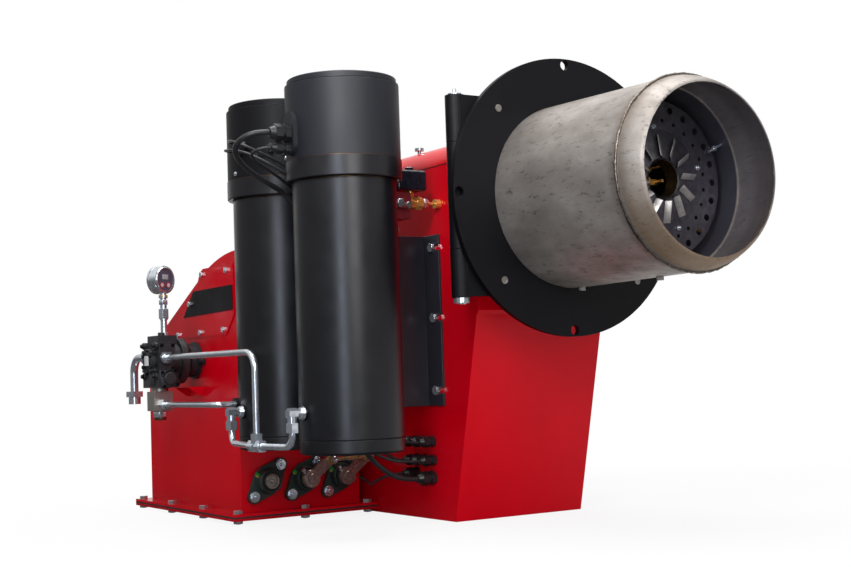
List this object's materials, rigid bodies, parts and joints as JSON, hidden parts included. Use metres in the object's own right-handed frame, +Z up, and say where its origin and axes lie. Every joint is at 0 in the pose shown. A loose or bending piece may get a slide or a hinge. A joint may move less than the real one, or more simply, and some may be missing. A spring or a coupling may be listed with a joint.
{
  "type": "industrial oil burner",
  "caption": "Oil burner with fan housing, damper suction box, hinged boiler flange with blast tube, heater vessels, oil pump, pipes and gauge",
  "frame": {"origin": "centre of the boiler bolt circle on the flange face that meets the boiler", "axes": "blast tube points to -Y, fan housing lies on +Y, +Z is up, suction box and pump lie on -X"},
  "size_m": [1.3302, 1.729, 1.008],
  "materials": {
    "red_powder_coat": "gloss powder coat",
    "black_powder_coat": "satin powder coat",
    "stainless_sheet": "rolled sheet with welds",
    "zinc_steel": "bright zinc plate",
    "plain_steel": "machined",
    "yellow_zinc": "yellow zinc plate",
    "black_cast_iron": "oiled casting",
    "green_cast_iron": "painted casting",
    "brass": "machined",
    "aluminium_sheet": "mill finish",
    "motor_paint": "gloss",
    "black_plastic": "moulded",
    "green_plastic": "moulded",
    "cable_sheath": "smooth",
    "gasket_rope": "woven",
    "gasket_sheet": "flat",
    "block_paint": "satin"
  },
  "bodies": {
    "burner_body": {"main_housing": "red_powder_coat", "top_cover": "red_powder_coat", "top_cover_knobs": "zinc_steel", "front_collar": "black_powder_coat", "collar_gasket": "gasket_rope", "hinge_bracket": "black_powder_coat", "inlet_ring": "red_powder_coat", "fan_scroll": "zinc_steel", "drive_motor": "motor_paint", "motor_fan_cowl": "motor_paint", "suction_box": "red_powder_coat", "intake_gasket": "gasket_sheet", "intake_counter_flange": "red_powder_coat", "hex_bolts": "zinc_steel", "inspection_cover": "red_powder_coat", "front_plate": "black_powder_coat", "damper_bearings": "green_cast_iron", "bearing_bolts": "zinc_steel", "grease_caps": "green_plastic", "damper_servos": "black_plastic", "front_vessel": "black_powder_coat", "rear_vessel": "black_powder_coat", "heating_elements": "plain_steel", "front_cap": "black_powder_coat", "rear_cap": "black_powder_coat", "cap_glands": "black_plastic", "wall_glands": "black_plastic", "heater_bracket": "black_powder_coat", "valve_block": "block_paint", "solenoid_coil": "black_plastic", "solenoid_valve": "brass", "oil_pump": "black_cast_iron", "pump_end_cover": "black_cast_iron", "pump_lantern": "black_cast_iron", "pump_bracket": "red_powder_coat", "pump_manifold": "plain_steel", "delivery_pipes": "zinc_steel", "return_pipe": "zinc_steel", "suction_pipe": "zinc_steel", "pipe_fittings": "zinc_steel", "pressure_gauge": "zinc_steel", "gauge_stem": "zinc_steel", "heater_cables": "cable_sheath", "control_cables": "cable_sheath"},
    "swing_head": {"boiler_flange": "black_powder_coat", "blast_tube": "stainless_sheet", "flange_screws": "zinc_steel", "hinge_leaves": "black_powder_coat", "hinge_pin": "zinc_steel"},
    "combustion_head": {"diffuser": "stainless_sheet", "oil_lance": "brass"},
    "fan_shaft": {"drive_shaft": "plain_steel", "impeller": "zinc_steel", "motor_cooling_fan": "black_plastic"},
    "first_damper": {"damper_1": "plain_steel"},
    "second_damper": {"damper_2": "plain_steel"},
    "third_damper": {"damper_3": "plain_steel"},
    "lever_link": {"damper_link": "yellow_zinc"},
    "left_button": {"gauge_button_left": "black_plastic"},
    "right_button": {"gauge_button_right": "black_plastic"}
  },
  "joints": [
    {"name": "burner_swing", "type": "hinge", "parent": "burner_body", "child": "swing_head", "pos_m": [-0.267, 0.039, 0], "axis": [0, 0, -1], "range_deg": [0, 90]},
    {"name": "head_adjust", "type": "slide", "parent": "swing_head", "child": "combustion_head", "axis": [0, 1, 0], "range_m": [0, 0.02]},
    {"name": "fan_turn", "type": "hinge", "parent": "burner_body", "child": "fan_shaft", "pos_m": [0, 0.849, -0.322], "axis": [1, 0, 0], "continuous": true},
    {"name": "first_damper_turn", "type": "hinge", "parent": "burner_body", "child": "first_damper", "pos_m": [-0.458, 0.88, -0.61], "axis": [0, -1, 0], "range_deg": [0, 80]},
    {"name": "second_damper_turn", "type": "hinge", "parent": "burner_body", "child": "second_damper", "pos_m": [-0.361, 0.88, -0.61], "axis": [0, -1, 0], "range_deg": [0, 80]},
    {"name": "third_damper_turn", "type": "hinge", "parent": "burner_body", "child": "third_damper", "pos_m": [-0.264, 0.88, -0.61], "axis": [0, -1, 0], "range_deg": [0, 80]},
    {"name": "link_turn", "type": "hinge", "parent": "second_damper", "child": "lever_link", "pos_m": [-0.30742, 0.549, -0.56814], "axis": [0, -1, 0], "range_deg": [-80, 0]},
    {"name": "left_button_press", "type": "slide", "parent": "burner_body", "child": "left_button", "axis": [-0.4194, 0.9078, 0], "range_m": [0, 0.0008], "stiffness_N_per_m": 400},
    {"name": "right_button_press", "type": "slide", "parent": "burner_body", "child": "right_button", "axis": [-0.4194, 0.9078, 0], "range_m": [0, 0.0008], "stiffness_N_per_m": 400}
  ],
  "couplings": [
    {"joint": "third_damper_turn", "follows": "second_damper_turn", "ratio": 1},
    {"joint": "link_turn", "follows": "second_damper_turn", "ratio": -1}
  ]
}
